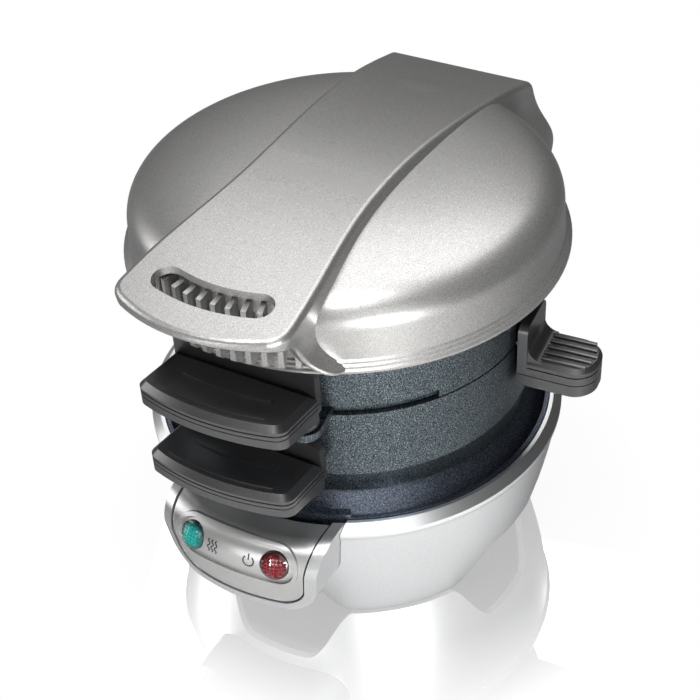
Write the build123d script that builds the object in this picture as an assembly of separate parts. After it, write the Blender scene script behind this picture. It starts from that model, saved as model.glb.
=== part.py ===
from build123d import *
import math
import os

# Breakfast sandwich maker. Millimetres, +Z up. The handles and the lamps face -Y, the hinge is at
# +Y, the side handle at +X. Pieces are drawn about the rings' centre line and written out about
# the middle of the overall box, which is the part's origin, on the table.

# Where the rings' centre line stands from the middle of the overall box
ring_centre_x = -6.44
ring_centre_y = -0.15

# Clearances
running_gap = 0.3
seat_gap = 0.1
screw_clearance = 0.15
pin_clearance = 0.15

# Base housing
foot_drop = 0.8
foot_diameter = 9.0
foot_height = 2.6
foot_circle_radius = 47.0
leg_boss_diameter = 12.0
front_leg_angle = 50.0
rear_leg_angle = 36.0
base_foot_radius = 54.0
base_waist_radius = 60.7
base_waist_height = 24.1
base_body_radius = 64.1
base_body_height = 44.0
base_lip_radius = 64.9
base_lip_height = 46.1
base_lip_thickness = 1.3
base_rim_radius = 62.4
base_rim_height = 48.3
base_opening_radius = 61.3
base_wall = 2.2
front_arch_width = 52.0
front_arch_height = 18.0
side_arch_width = 47.0
side_arch_height = 15.5
rear_arch_width = 62.0
rear_arch_height = 12.0
arch_crown_share = 0.36
base_mouth_drop = 1.0

# Bottom cover
bottom_cover_height = 19.5
bottom_cover_thickness = 2.0
bottom_cover_radius = 55.2
bottom_cover_vent_count = 6
bottom_cover_vent_width = 2.5
bottom_cover_vent_length = 26.0
bottom_cover_vent_pitch = 6.5

# Tray
tray_sheet = 1.5
tray_lip_width = 1.2
tray_lip_rise = 0.5
tray_floor_radius = 59.4
tray_floor_drop = 3.2
tray_plinth_radius = 51.6
tray_plinth_height = 52.2
tray_hole_radius = 49.0
tray_front_lip_angle = 27.0
tray_front_lip_rise = 1.3

# Lower heating plate and what it carries
heating_plate_radius = 48.4
heating_plate_thickness = 3.4
heating_plate_rise = 1.3
heating_plate_rounding = 0.8
heating_plate_flange = 6.0
element_radius = 33.0
element_diameter = 6.4
element_gap_angle = 50.0
thermostat_diameter = 15.0
thermostat_height = 8.0
thermostat_tag_half_width = 3.2
thermostat_tag_half_length = 11.25
thermostat_tag_thickness = 1.0
fuse_diameter = 5.0
fuse_length = 18.0
fuse_offset = 15.0
terminal_block_length = 26.0
terminal_block_width = 11.0
terminal_block_height = 9.0
terminal_block_y = 36.0
terminal_pitch = 8.0
terminal_hole_radius = 2.0
terminal_floor = 5.4
wire_diameter = 1.8
wire_level = 3.5
wire_bend_radius = 6.0
wire_bend_x = 14.0
wire_bend_run = 8.0
wire_lamp_x = 11.0
wire_lamp_run = 22.0
cover_wire_spread = 3.0
cover_wire_setback = 12.0
cover_wire_end_setback = 10.0

# Control panel
panel_centre_y = -15.2
panel_front_radius = 62.5
panel_lean = 4.0
panel_lean_share = 0.3
panel_top_rounding = 9.1
panel_top_half_width = 28.3
panel_bottom_half_width = 23.5
panel_bottom_height = 22.8
panel_corner_radius = 10.6
panel_frame_border = 2.7
panel_frame_wall = 2.2
panel_joint_gap = 0.5
panel_inset = 0.5
panel_thickness = 2.2
lamp_spacing = 27.6
lamp_height = 42.3
lamp_tilt = 20.0
lens_diameter = 8.6
lens_rim_diameter = 10.2
lens_dome = 1.3
lens_depth = 5.0
lens_rim_depth = -3.4
lens_bore_reach = 20.0
surround_margin = 1.6
surround_width = 1.1
surround_rise = 0.7
surround_reach = 12.0
lamp_diameter = 5.6
lamp_length = 8.0
lamp_socket_depth = 1.6

# Cooking rings
ring_radius = 55.0
ring_foot_radius = 53.3
ring_foot_taper_height = 8.0
ring_bore_radius = 50.6
bottom_ring_height = 30.6
top_ring_height = 23.5
cooking_plate_radius = 54.8
cooking_plate_recess_radius = 53.4
cooking_plate_seat_radius = 49.6
cooking_plate_thickness = 1.3
cooking_plate_ear_thickness = 2.5

# Ring handles
handle_half_width = 22.8
handle_front_y = -77.2
handle_front_bulge = 4.3
handle_guard_y = -56.6
handle_corner_radius = 4.0
handle_slope = 0.15
handle_front_thickness = 6.6
handle_root_thickness = 9.4
handle_bevel = 1.8
handle_wall = 2.2
handle_split_drop = 4.3
handle_groove_drop = 2.7
handle_groove = 0.45
handle_guard_thickness = 2.6
handle_guard_below = 0.3
handle_guard_inset = 0.6
bottom_guard_above = 6.4
top_handle_height = 100.2
bottom_handle_height = 75.2
handle_tab_width = 15.0
handle_tab_thickness = 2.4
handle_tab_length = 13.0
handle_tab_drop = 4.9
handle_tab_root_radius = 52.6
handle_ridge_width = 1.0
handle_ridge_rise = 0.5
handle_ridge_places = ((3.4, 6.0), (12.0, 9.0))
handle_screw_x = 4.2
handle_screw_setback = 7.15
handle_screw_length = 5.0
handle_pillar_radius = 2.6
handle_pillar_extra = 2.0

# Cooking plate pivot and side handle
pivot_x = 17.9
pivot_y = -59.4
pivot_pin_diameter = 4.0
pivot_head_diameter = 7.0
pivot_head_height = 1.2
pivot_ear_radius = 5.2
pivot_root_radius = 6.4
pivot_boss_diameter = 8.6
pivot_boss_height = 92.2
pivot_pin_depth = 6.0
pivot_root_distance = 52.1
ear_start_angle = -79.5
ear_end_angle = -37.0
ear_relief_angle = 2.0
side_handle_angle = 4.4
side_handle_half_width = 8.3
side_handle_reach = 78.2
side_handle_top = 80.4
side_handle_thickness = 10.2
side_handle_root_radius = 55.9
side_handle_tip_radius = 7.2
side_guard_thickness = 2.9
side_guard_top = 92.0
side_guard_fillet = 4.5
side_guard_corner = 3.0
side_web_inset = 0.6
side_web_root = 1.0
side_top_bevel = 1.2
side_bottom_bevel = 0.8
side_handle_split_drop = 5.4
side_handle_groove_drop = 2.4
side_rib_count = 5
side_rib_width = 1.3
side_rib_rise = 0.8
side_rib_length = 15.0
side_rib_pitch = 2.75
side_rib_trim = 0.35
side_rib_root = 0.5
side_rib_rounding = 0.4
side_screw_x = 65.7
side_screw_y = 3.2
side_screw_length = 6.2
side_pillar_radius = 2.4
side_pillar_extra = 1.5
side_pillar_inset = 0.5
strap_half_width = 5.7
strap_start_radius = 50.4
strap_radius = 57.8
strap_thickness = 1.4
strap_split_gap = 0.7
strap_end_radius = 68.2

# Cover
cover_rim_rise = 21.7
cover_radius = 65.2
cover_junction_radius = 63.3
cover_rim_height = 3.3
cover_shoulder_radius = 62.7
cover_shoulder_rise = 11.8
cover_crown_rise = 25.2
cover_profile = ((28.0, 24.5), (50.0, 21.9), (59.0, 18.5))
cover_wall = 2.1
cover_step_count = 3
cover_step_share = 0.35
# Rise above the lid's rim, and half widths at the lip, the foot, the waist and the rear
band_levels = (
    (-16.4, (38.0, 36.8, 25.2, 27.4)),
    (0.0, (34.6, 33.4, 24.6, 27.0)),
    (4.6, (27.0, 26.4, 23.2, 26.4)),
    (17.5, (24.9, 23.6, 21.6, 25.2)),
    (29.1, (22.9, 21.0, 19.6, 21.2)),
)
band_waist_front_y = -24.0
band_waist_rear_y = 4.0
band_half_width = 21.6
band_crown_y = -8.0
band_crown_rise = 28.1
band_nose_y = -84.3
band_nose_drop = 5.3
band_nose_sides_y = -76.6
band_corner = 4.0
band_foot_y = -56.4
band_heel_y = 63.0
band_sweep_turn = 1.5
band_sweep_run = 9.0
band_sweep_drop = 8.5
band_lip_thickness = 2.4
band_rear_y = 78.6
band_rear_drop = 14.4
band_rear_corner = 5.0
band_edge_radius = 1.8
band_lip_radius = 1.0
flap_rear_y = 84.6
flap_depth = 15.4
flap_notch_rise = 4.0
flap_notch_side_gap = 1.2
slot_arc_radius = 49.0
slot_centre_y = -70.6
slot_half_length = 17.9
slot_width = 8.8
comb_rib_count = 11
comb_rib_pitch = 4.5
comb_rib_width = 1.5
comb_rib_behind = 2.1
comb_rib_ahead = 3.3
comb_rib_bevel = 1.2
comb_foot_rise = 2.8
comb_top_drop = 3.2
comb_rail_width = 1.6
comb_rail_height = 3.0

# Cover liner and upper heating plate
liner_thickness = 1.8
liner_step = 1.0
liner_boss_circle = 58.1
liner_boss_angle = 48.0
liner_screw_length = 7.0
liner_boss_radius = 3.0
liner_boss_length = 9.0
liner_rim_gap = 0.4
liner_arm_root = 14.0
liner_arm_front = 8.0
liner_arm_neck = 2.5
liner_arm_drop = 1.0
liner_arm_rise = 2.4
liner_arm_low = 1.8
liner_lap = 3.0
upper_plate_dip = 1.4
upper_plate_boss = 1.4
upper_plate_edge_gap = 0.5
upper_plate_step = 3.3
cutout_inset = 1.0

# Hinge
hinge_setback = 11.6
hinge_rise = 9.7
hinge_pin_diameter = 4.0
hinge_pin_half_length = 21.3
knuckle_radius = 5.0
post_half_width = 6.4
knuckle_width = 4.0
hinge_washer = 0.3
pin_chamfer = 0.4
bracket_half_width = 14.4
bracket_thickness = 2.0
bracket_inner_radius = 61.7
bracket_low = 35.1
bracket_high = 50.3
bracket_screw_x = 11.0
bracket_screw_height = 41.1
post_front_drop = 3.0
post_rear_reach = 4.5
post_rear_drop = 2.0
post_foot_depth = 2.6
post_foot_rise = 2.0
arm_top_setback = 2.5
arm_top_rise = 4.25
arm_low_reach = 1.0
arm_low_drop = 4.85
bottom_arm_drops = (11.0, 3.8)
top_arm_rises = (1.0, 10.5)

# Fasteners
screw_shank_diameter = 2.8
screw_head_diameter = 5.2
screw_head_height = 1.8
screw_length = 9.0
screw_recess = 1.9

# Cord bushing
bushing_diameter = 10.0
bushing_flange_diameter = 14.0
bushing_length = 12.0
bushing_bore = 6.2
bushing_height = 28.0
bushing_stand_out = 1.5
bushing_flange_thickness = 2.6

# Heights that follow from the stack
tray_top = base_rim_height + tray_lip_rise
plate_top = tray_plinth_height + heating_plate_rise
bottom_ring_z = tray_plinth_height + running_gap
bottom_ring_top = bottom_ring_z + bottom_ring_height
cooking_plate_z = bottom_ring_top + running_gap
cooking_plate_top = cooking_plate_z + cooking_plate_thickness
top_ring_z = cooking_plate_top + running_gap
ear_top = cooking_plate_z + cooking_plate_ear_thickness
relief_top = ear_top + running_gap
top_ring_top = top_ring_z + top_ring_height
cover_rim_z = top_ring_z + cover_rim_rise
liner_z = top_ring_top + running_gap
hinge_y = cover_radius + hinge_setback
hinge_z = top_ring_z + hinge_rise
pin_bore_radius = hinge_pin_diameter / 2 + pin_clearance
surround_radius = lens_diameter / 2 + surround_margin
pivot_pin_top = relief_top + pivot_pin_depth
bushing_rear_y = base_lip_radius + bushing_stand_out
upper_plate_bottom = liner_z - upper_plate_dip
upper_plate_top = upper_plate_bottom + heating_plate_thickness + upper_plate_boss
big = 400.0


def cylinder(radius, z_low, z_high, x=0.0, y=0.0):
    return Pos(x, y, (z_low + z_high) / 2) * Cylinder(radius, z_high - z_low)


def block(x_low, x_high, y_low, y_high, z_low, z_high):
    centre = ((x_low + x_high) / 2, (y_low + y_high) / 2, (z_low + z_high) / 2)
    return Pos(*centre) * Box(x_high - x_low, y_high - y_low, z_high - z_low)


def turned(outline):
    """Revolve a closed outline of edges in the XZ plane about the Z axis."""
    return revolve(make_face(outline), Axis.Z)


def polygon_turned(points):
    return turned(Polyline(*[(r, 0, z) for r, z in points], close=True))


def rod(start, end, radius):
    """A round bar between two points."""
    start, end = Vector(*start), Vector(*end)
    along = end - start
    return Plane(origin=start, z_dir=along) * Cylinder(
        radius, along.length, align=(Align.CENTER, Align.CENTER, Align.MIN)
    )


def mirrored_pair(shape):
    return [shape, mirror(shape, Plane.YZ)]


def one_solid(shape):
    """The largest solid of a shape, for cuts that may leave crumbs."""
    return max(shape.solids(), key=lambda piece: piece.volume)


def screw(length=screw_length):
    """A pan-head screw, head up, its head's underside at the origin."""
    shank = cylinder(screw_shank_diameter / 2, -length, 0)
    head = cylinder(screw_head_diameter / 2, 0, screw_head_height)
    return fillet((shank + head).edges().group_by(Axis.Z)[-1], screw_head_height / 3)


def screw_hole(length=screw_length):
    shank = cylinder(screw_shank_diameter / 2 + screw_clearance, -length - screw_clearance, 0)
    seat = cylinder(
        screw_head_diameter / 2 + screw_clearance, 0, screw_head_height + running_gap
    )
    return shank + seat


# ---------------------------------------------------------------- base


def base_outer(offset=0.0):
    """The bowl of the base as a solid of revolution, drawn in by an offset."""
    foot = (base_foot_radius - offset, 0, foot_drop)
    waist = (base_waist_radius - offset, 0, base_waist_height)
    body = (base_body_radius - offset, 0, base_body_height)
    side = ThreePointArc(foot, waist, body)
    top = Polyline(body, (0, 0, base_body_height), (0, 0, foot_drop), foot)
    return turned([side, top])


def rim_band():
    lip_low = base_lip_height - base_lip_thickness
    return polygon_turned(
        [
            (base_opening_radius, base_body_height - base_lip_thickness),
            (base_body_radius, base_body_height - base_lip_thickness),
            (base_lip_radius, lip_low),
            (base_lip_radius, base_lip_height),
            (base_rim_radius, base_rim_height),
            (base_opening_radius, base_rim_height),
        ]
    )


def arch_cutter(angle, width, height):
    """A bell-shaped prism that raises the skirt between two legs."""
    half, crown = width / 2, width * arch_crown_share / 2
    middle = (half + crown) / 2
    low, high = -foot_drop, foot_drop + height
    left = Bezier((-half, low), (-middle, low), (-middle, high), (-crown, high))
    right = Bezier((crown, high), (middle, high), (middle, low), (half, low))
    top = Line((-crown, high), (crown, high))
    bottom = Line((half, low), (-half, low))
    face = make_face([left, top, right, bottom])
    near = base_foot_radius / 3
    far = base_lip_radius + near
    prism = extrude(Plane.XZ * face, -(far - near))
    return Rot(0, 0, angle - 90) * Pos(0, near, 0) * prism


def leg_places():
    for angle in (front_leg_angle, rear_leg_angle):
        sign = -1 if angle == front_leg_angle else 1
        yield Rot(0, 0, sign * angle) * Pos(foot_circle_radius, 0, 0)
        yield Rot(0, 0, 180 - sign * angle) * Pos(foot_circle_radius, 0, 0)


def panel_outline(offset):
    """Front view of the control panel: straight top, drawn-in sides, round lower corners."""
    top = base_rim_height + 2 * offset + panel_corner_radius
    corners = [
        (-(panel_top_half_width - offset), top),
        (-(panel_bottom_half_width - offset), panel_bottom_height + offset),
        (panel_bottom_half_width - offset, panel_bottom_height + offset),
        (panel_top_half_width - offset, top),
    ]
    face = make_face(Polyline(*corners, close=True))
    lower = face.vertices().group_by(Axis.Y)[0]
    return fillet(lower, panel_corner_radius - offset)


def panel_solid(offset, inset):
    """The hood that the panel is cut from, drawn in sideways and backwards."""
    radius = panel_front_radius - inset
    top = base_rim_height - inset
    bend = panel_top_rounding - inset
    depth = top - bend - panel_bottom_height
    low = (radius - panel_lean, 0, panel_bottom_height - panel_corner_radius)
    knee = (radius, 0, top - bend)
    shoulder = (radius - bend, 0, top)
    corner = (radius - bend * (1 - math.sqrt(0.5)), 0, top - bend * (1 - math.sqrt(0.5)))
    middle = (radius - panel_lean * panel_lean_share, 0, top - bend - depth / 2)
    side = ThreePointArc(low, middle, knee)
    crown = ThreePointArc(knee, corner, shoulder)
    back = Polyline(shoulder, (0, 0, top), (0, 0, low[2]), low)
    drum = Pos(0, panel_centre_y, 0) * turned([side, crown, back])
    slab = extrude(Plane.XZ * panel_outline(offset), 2 * panel_front_radius)
    return drum & slab


def make_base_housing():
    shell = base_outer() - base_outer(base_wall)
    shell += rim_band()
    shell -= cylinder(base_opening_radius, base_body_height - base_lip_thickness - base_mouth_drop, big)
    for angle, width, height in (
        (-90, front_arch_width, front_arch_height),
        (90, rear_arch_width, rear_arch_height),
        (-8, side_arch_width, side_arch_height),
        (188, side_arch_width, side_arch_height),
    ):
        shell -= arch_cutter(angle, width, height)
    for place in leg_places():
        leg = place * cylinder(leg_boss_diameter / 2, foot_drop, bottom_cover_height - seat_gap)
        shell += leg & base_outer(base_wall / 2)
    for place in leg_places():
        shell -= place * cylinder(
            foot_diameter / 2 + seat_gap, 0, foot_height + seat_gap
        )
        shell -= place * Pos(0, 0, bottom_cover_height + bottom_cover_thickness) * screw_hole()
    shell -= panel_solid(-seat_gap, -seat_gap)
    shell -= hinge_bracket_flange(seat_gap)
    shell -= bushing_body(seat_gap)
    for place in bracket_screw_places():
        shell -= place * screw_hole()
    return one_solid(shell)


def make_control_panel_frame():
    frame = panel_solid(0, 0) - panel_solid(panel_frame_border, -1)
    rear = panel_solid(panel_frame_wall, panel_frame_wall)
    frame -= rear
    frame -= base_outer(0) + rim_band()
    frame -= cylinder(base_opening_radius, base_body_height, big)
    return frame


def lamp_place(x):
    """A point of the panel's face at lamp height, and the direction in which it looks."""
    slope = math.radians(lamp_tilt)
    radius = panel_front_radius - panel_inset - panel_top_rounding * (1 - math.cos(slope))
    depth = math.sqrt(radius**2 - x**2)
    outward = (x, -depth, radius * math.tan(slope))
    return Plane(origin=(x, panel_centre_y - depth, lamp_height), z_dir=outward, x_dir=(depth, x, 0))


def lamp_places():
    return [lamp_place(side * lamp_spacing / 2) for side in (-1, 1)]


def stadium(half_length, radius):
    face = Rectangle(2 * half_length, 2 * radius)
    return face + [Pos(side * half_length, 0) * Circle(radius) for side in (-1, 1)]


def make_control_panel():
    edge = panel_frame_border + panel_joint_gap
    panel = panel_solid(edge, panel_inset) - panel_solid(
        panel_frame_wall, panel_inset + panel_thickness
    )
    raised = panel_solid(edge, panel_inset - surround_rise) - panel_solid(
        panel_frame_wall, panel_inset + panel_thickness / 2
    )
    ring = stadium(lamp_spacing / 2, surround_radius + surround_width) - stadium(
        lamp_spacing / 2, surround_radius
    )
    aim = lamp_place(0)
    panel += raised & extrude(aim * ring, surround_reach, both=True)
    panel -= base_outer(0) + rim_band()
    panel -= cylinder(base_opening_radius, base_body_height, big)
    for place in lamp_places():
        bore = cylinder(lens_diameter / 2 + seat_gap, -lens_bore_reach, lens_bore_reach)
        seat = cylinder(lens_rim_diameter / 2 + seat_gap, -lens_bore_reach, lens_rim_depth + seat_gap)
        panel -= place * (bore + seat)
    return one_solid(panel)


def make_lens(place):
    """A clear dome with a flange behind the panel."""
    radius = lens_diameter / 2
    dome_radius = (radius**2 + lens_dome**2) / (2 * lens_dome)
    body = cylinder(radius, -lens_depth, lens_dome)
    body &= Pos(0, 0, lens_dome - dome_radius) * Sphere(dome_radius)
    body += cylinder(lens_rim_diameter / 2, -lens_depth, lens_rim_depth)
    socket = -lens_depth + lamp_socket_depth
    body -= cylinder(lamp_diameter / 2 + seat_gap, -2 * lens_depth, socket)
    return place * body


def make_lamp_holders():
    lamps = []
    tip = -lens_depth + lamp_socket_depth - seat_gap
    for place in lamp_places():
        lamps.append(place * cylinder(lamp_diameter / 2, -lens_depth - lamp_length, tip))
    return lamps


def make_bottom_cover():
    top = bottom_cover_height + bottom_cover_thickness
    cover = cylinder(bottom_cover_radius, bottom_cover_height, top)
    vent = block(
        -bottom_cover_vent_width / 2,
        bottom_cover_vent_width / 2,
        -bottom_cover_vent_length / 2,
        bottom_cover_vent_length / 2,
        0,
        big,
    )
    for index in range(bottom_cover_vent_count):
        middle = (bottom_cover_vent_count - 1) / 2
        cover -= Pos((index - middle) * bottom_cover_vent_pitch, 0, 0) * vent
    for place in leg_places():
        cover -= place * Pos(0, 0, top) * screw_hole()
    return cover


def make_rubber_feet():
    return [
        place * fillet(
            cylinder(foot_diameter / 2, 0, foot_height).edges().group_by(Axis.Z)[0], foot_drop / 2
        )
        for place in leg_places()
    ]


def make_bottom_cover_screws():
    top = bottom_cover_height + bottom_cover_thickness
    return [place * Pos(0, 0, top) * screw() for place in leg_places()]


def make_base_tray():
    lip_inner = base_opening_radius - running_gap - tray_lip_width
    lip_outer = base_opening_radius - running_gap
    floor = base_rim_height - tray_floor_drop
    tray = polygon_turned(
        [
            (tray_hole_radius, tray_plinth_height),
            (tray_plinth_radius, tray_plinth_height),
            (tray_floor_radius, floor),
            (lip_inner, floor + tray_sheet),
            (lip_inner, tray_top),
            (lip_outer, tray_top),
            (lip_outer, floor - tray_sheet / 2),
            (tray_floor_radius, floor - tray_sheet),
            (tray_plinth_radius - tray_sheet, tray_plinth_height - tray_sheet),
            (tray_hole_radius, tray_plinth_height - tray_sheet),
        ]
    )
    wall = cylinder(lip_outer, floor, tray_top + tray_front_lip_rise)
    wall -= cylinder(lip_inner - tray_lip_width, 0, big)
    spread = big * math.tan(math.radians(tray_front_lip_angle))
    wedge = make_face(Polyline((0, 0), (-spread, -big), (spread, -big), close=True))
    return tray + (wall & extrude(wedge, big))


def make_lower_heating_plate():
    low = plate_top - heating_plate_thickness
    plate = cylinder(heating_plate_radius, low, plate_top)
    plate = fillet(plate.edges().group_by(Axis.Z)[-1], heating_plate_rounding)
    rim = tray_plinth_height - tray_sheet
    flange = cylinder(tray_plinth_radius - tray_sheet - seat_gap, rim - tray_sheet, rim - seat_gap)
    flange -= cylinder(heating_plate_radius - heating_plate_flange, 0, big)
    return plate + flange


def element(z_centre):
    """A tubular heater bent round to a horseshoe, with its two cold ends turned inwards."""
    tube = Torus(element_radius, element_diameter / 2)
    half_gap = math.radians(element_gap_angle / 2)
    reach = 2 * element_radius
    wedge = make_face(
        Polyline(
            (0, 0),
            (-reach * math.sin(half_gap), reach * math.cos(half_gap)),
            (reach * math.sin(half_gap), reach * math.cos(half_gap)),
            close=True,
        )
    )
    tube -= Pos(0, 0, -element_diameter) * extrude(wedge, 2 * element_diameter)
    return Pos(0, 0, z_centre) * tube


def lower_element_z():
    return plate_top - heating_plate_thickness - element_diameter / 2 - seat_gap


def make_lower_thermostat():
    top = plate_top - heating_plate_thickness - seat_gap
    can = cylinder(thermostat_diameter / 2, top - thermostat_height, top)
    low = top - thermostat_height
    tag = block(
        -thermostat_tag_half_width,
        thermostat_tag_half_width,
        -thermostat_tag_half_length,
        thermostat_tag_half_length,
        low - thermostat_tag_thickness,
        low,
    )
    return can + tag


def make_thermal_fuse(z_face, side):
    radius = fuse_diameter / 2
    z = z_face - side * (radius + seat_gap)
    return rod((fuse_offset, -fuse_length / 2, z), (fuse_offset, fuse_length / 2, z), radius)


def make_terminal_block():
    half = terminal_block_length / 2
    low = bottom_cover_height + bottom_cover_thickness + seat_gap
    body = block(
        -half,
        half,
        terminal_block_y - terminal_block_width / 2,
        terminal_block_y + terminal_block_width / 2,
        low,
        low + terminal_block_height,
    )
    for index in (-1, 0, 1):
        x = index * terminal_pitch
        body -= cylinder(terminal_hole_radius, low + terminal_floor, big, x, terminal_block_y)
    return body


def make_base_wiring():
    """Wires from the terminal block to the lamps, the thermostat and the fuse."""
    level = bottom_cover_height + bottom_cover_thickness + wire_level
    front = terminal_block_y - terminal_block_width / 2 - seat_gap
    wires = []
    for side in (-1, 1):
        x = side * terminal_pitch
        start = (x, front, level)
        bend = (side * wire_bend_x, panel_centre_y - wire_bend_run, level)
        lamp = (side * wire_lamp_x, panel_centre_y - wire_lamp_run, level)
        path = FilletPolyline(start, (x, 0, level), bend, lamp, radius=wire_bend_radius)
        wires.append(sweep(Plane(origin=start, z_dir=path % 0) * Circle(wire_diameter / 2), path))
    return wires


def bushing_body(grow=0.0):
    rear = (0, bushing_rear_y, bushing_height)
    front = (0, bushing_rear_y - bushing_length, bushing_height)
    collar = (0, bushing_rear_y - bushing_flange_thickness + grow / 2, bushing_height)
    body = rod(rear, front, bushing_diameter / 2 + grow)
    return body + rod(rear, collar, bushing_flange_diameter / 2 + grow)


def make_cord_bushing():
    rear = (0, bushing_rear_y + bushing_length, bushing_height)
    front = (0, bushing_rear_y - 2 * bushing_length, bushing_height)
    return bushing_body() - rod(rear, front, bushing_bore / 2)


# ---------------------------------------------------------------- hinge


def hinge_bracket_flange(grow=0.0):
    """The foot of the hinge bracket, let into the rear of the base."""
    half = bracket_half_width + grow
    outer = base_lip_radius + bracket_thickness + grow
    pad = cylinder(outer, bracket_low - grow, bracket_high)
    pad -= cylinder(bracket_inner_radius - grow, 0, big)
    return pad & block(-half, half, 0, big, 0, big)


def bracket_screw_places():
    for side in (-1, 1):
        x = side * bracket_screw_x
        y = math.sqrt((base_lip_radius + bracket_thickness) ** 2 - x**2)
        plane = Plane(origin=(x, y, bracket_screw_height), z_dir=(0, 1, 0))
        yield plane * Pos(0, 0, -screw_head_height)


def make_hinge_bracket():
    """The post that carries the hinge pin, on a pad screwed to the base."""
    foot_rear = base_lip_radius + bracket_thickness
    profile = Polyline(
        (0, bracket_inner_radius, bracket_low),
        (0, bracket_inner_radius, bracket_high),
        (0, hinge_y - knuckle_radius, hinge_z - post_front_drop),
        (0, hinge_y + post_rear_reach, hinge_z - post_rear_drop),
        (0, foot_rear + post_foot_depth, bracket_high + post_foot_rise),
        (0, foot_rear, bracket_low),
        close=True,
    )
    post = extrude(make_face(profile), post_half_width, both=True)
    low, high = (-post_half_width, hinge_y, hinge_z), (post_half_width, hinge_y, hinge_z)
    bracket = hinge_bracket_flange() + post + rod(low, high, knuckle_radius)
    bracket -= rod((-big, hinge_y, hinge_z), (big, hinge_y, hinge_z), hinge_pin_diameter / 2)
    for place in bracket_screw_places():
        bracket -= place * screw_hole()
    return bracket


def make_bracket_screws():
    return [place * screw() for place in bracket_screw_places()]


def make_hinge_pin():
    ends = hinge_pin_half_length
    pin = rod((-ends, hinge_y, hinge_z), (ends, hinge_y, hinge_z), hinge_pin_diameter / 2)
    return chamfer(pin.edges().filter_by(GeomType.CIRCLE), pin_chamfer)


def knuckle_span(order):
    """The inner and outer X of the knuckles of one layer, counted out from the post."""
    inner = post_half_width + hinge_washer + order * (knuckle_width + hinge_washer)
    return inner, inner + knuckle_width


def arm_pair(order, low_z, high_z, root_y):
    """Two arms from a ring's rear to knuckles on the hinge pin."""
    inner, outer = knuckle_span(order)
    profile = Polyline(
        (inner, root_y, low_z),
        (inner, root_y, high_z),
        (inner, hinge_y - arm_top_setback, hinge_z + arm_top_rise),
        (inner, hinge_y + arm_low_reach, hinge_z - arm_low_drop),
        close=True,
    )
    arm = extrude(make_face(profile), knuckle_width, dir=(1, 0, 0))
    arm += rod((inner, hinge_y, hinge_z), (outer, hinge_y, hinge_z), knuckle_radius)
    arm -= rod((0, hinge_y, hinge_z), (big, hinge_y, hinge_z), pin_bore_radius)
    return mirrored_pair(arm)


# ---------------------------------------------------------------- rings


def handle_top(height, y):
    """Height of a ring handle's top face, which slopes up to the front."""
    return height - handle_slope * (y - handle_front_y)


def handle_guard_span(height):
    root = handle_top(height, handle_guard_y)
    top = root + bottom_guard_above if height == bottom_handle_height else cover_rim_z - seat_gap
    return root - handle_root_thickness - handle_guard_below, top - seat_gap


def handle_plan(offset):
    """Plan outline of a ring handle, with its bowed front edge."""
    half = handle_half_width - offset
    front = handle_front_y + offset
    back = handle_guard_y - handle_guard_thickness + seat_gap
    bow = ThreePointArc((-half, front), (0, front - handle_front_bulge), (half, front))
    rest = Polyline((half, front), (half, back), (-half, back), (-half, front))
    face = make_face([bow, rest])
    corners = face.vertices().group_by(Axis.Y)[0]
    return fillet(corners, handle_corner_radius - offset)


def handle_slab(height, drop_low, drop_high, root_extra=0.0):
    """A sloping slab between two depths under a ring handle's top face."""
    near, far = handle_guard_y, handle_front_y - 2 * handle_front_bulge
    profile = Polyline(
        (0, near, handle_top(height, near) - drop_high),
        (0, far, handle_top(height, far) - drop_high),
        (0, far, handle_top(height, far) - drop_low),
        (0, near, handle_top(height, near) - drop_low - root_extra),
        close=True,
    )
    return extrude(make_face(profile), handle_half_width + 1, both=True)


def handle_body(height, offset, skin=0.0):
    """The closed form of a ring handle, or the space inside its skin."""
    thick = handle_root_thickness - handle_front_thickness
    column = extrude(handle_plan(offset), big)
    return column & handle_slab(height, handle_front_thickness - skin, skin, thick)


def handle_tab(height):
    """The ring's own tab that the two handle shells close on."""
    slab = handle_slab(height, handle_tab_drop + handle_tab_thickness, handle_tab_drop)
    far = handle_guard_y - handle_guard_thickness - handle_tab_length
    half = handle_tab_width / 2
    return slab & block(-half, half, far, -handle_tab_root_radius, 0, big)


def tab_root(height):
    z = handle_top(height, handle_guard_y) - handle_tab_drop
    return block(
        -handle_tab_width / 2,
        handle_tab_width / 2,
        handle_guard_y - handle_guard_thickness - handle_guard_inset,
        -handle_tab_root_radius,
        z - handle_tab_thickness,
        z,
    )


def handle_guard(height):
    """The upright plate between handle and ring, with round corners."""
    low, high = handle_guard_span(height)
    width = 2 * (handle_half_width - handle_guard_inset)
    face = Pos(0, (low + high) / 2) * RectangleRounded(width, high - low, handle_corner_radius)
    guard = extrude(Plane.XZ * face, handle_guard_thickness)
    guard = Pos(0, handle_guard_y, 0) * guard
    return guard - cylinder(ring_radius + running_gap, 0, big)


def handle_ridges(height):
    """Two raised arcs on the thumb face."""
    ridges = []
    slab = handle_slab(height, handle_ridge_rise, -handle_ridge_rise)
    bow = (handle_half_width**2 + handle_front_bulge**2) / (2 * handle_front_bulge)
    for back, inset in handle_ridge_places:
        centre = handle_front_y - handle_front_bulge + back + bow
        arc = Pos(0, centre) * (Circle(bow) - Circle(bow - handle_ridge_width))
        half = handle_half_width - inset
        strip = Pos(0, handle_front_y) * Rectangle(2 * half, 6 * handle_front_bulge)
        ridges.append(one_solid(extrude(arc & strip, big) & slab))
    return ridges


def handle_screw_places(height):
    y = handle_guard_y - handle_guard_thickness - handle_screw_setback
    thick = handle_root_thickness - handle_front_thickness
    share = (y - handle_front_y) / (handle_guard_y - handle_front_y)
    low = handle_top(height, y) - handle_front_thickness - thick * share
    for side in (-1, 1):
        yield Pos(side * handle_screw_x, y, low + screw_recess) * Rot(180, 0, 0)


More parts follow.
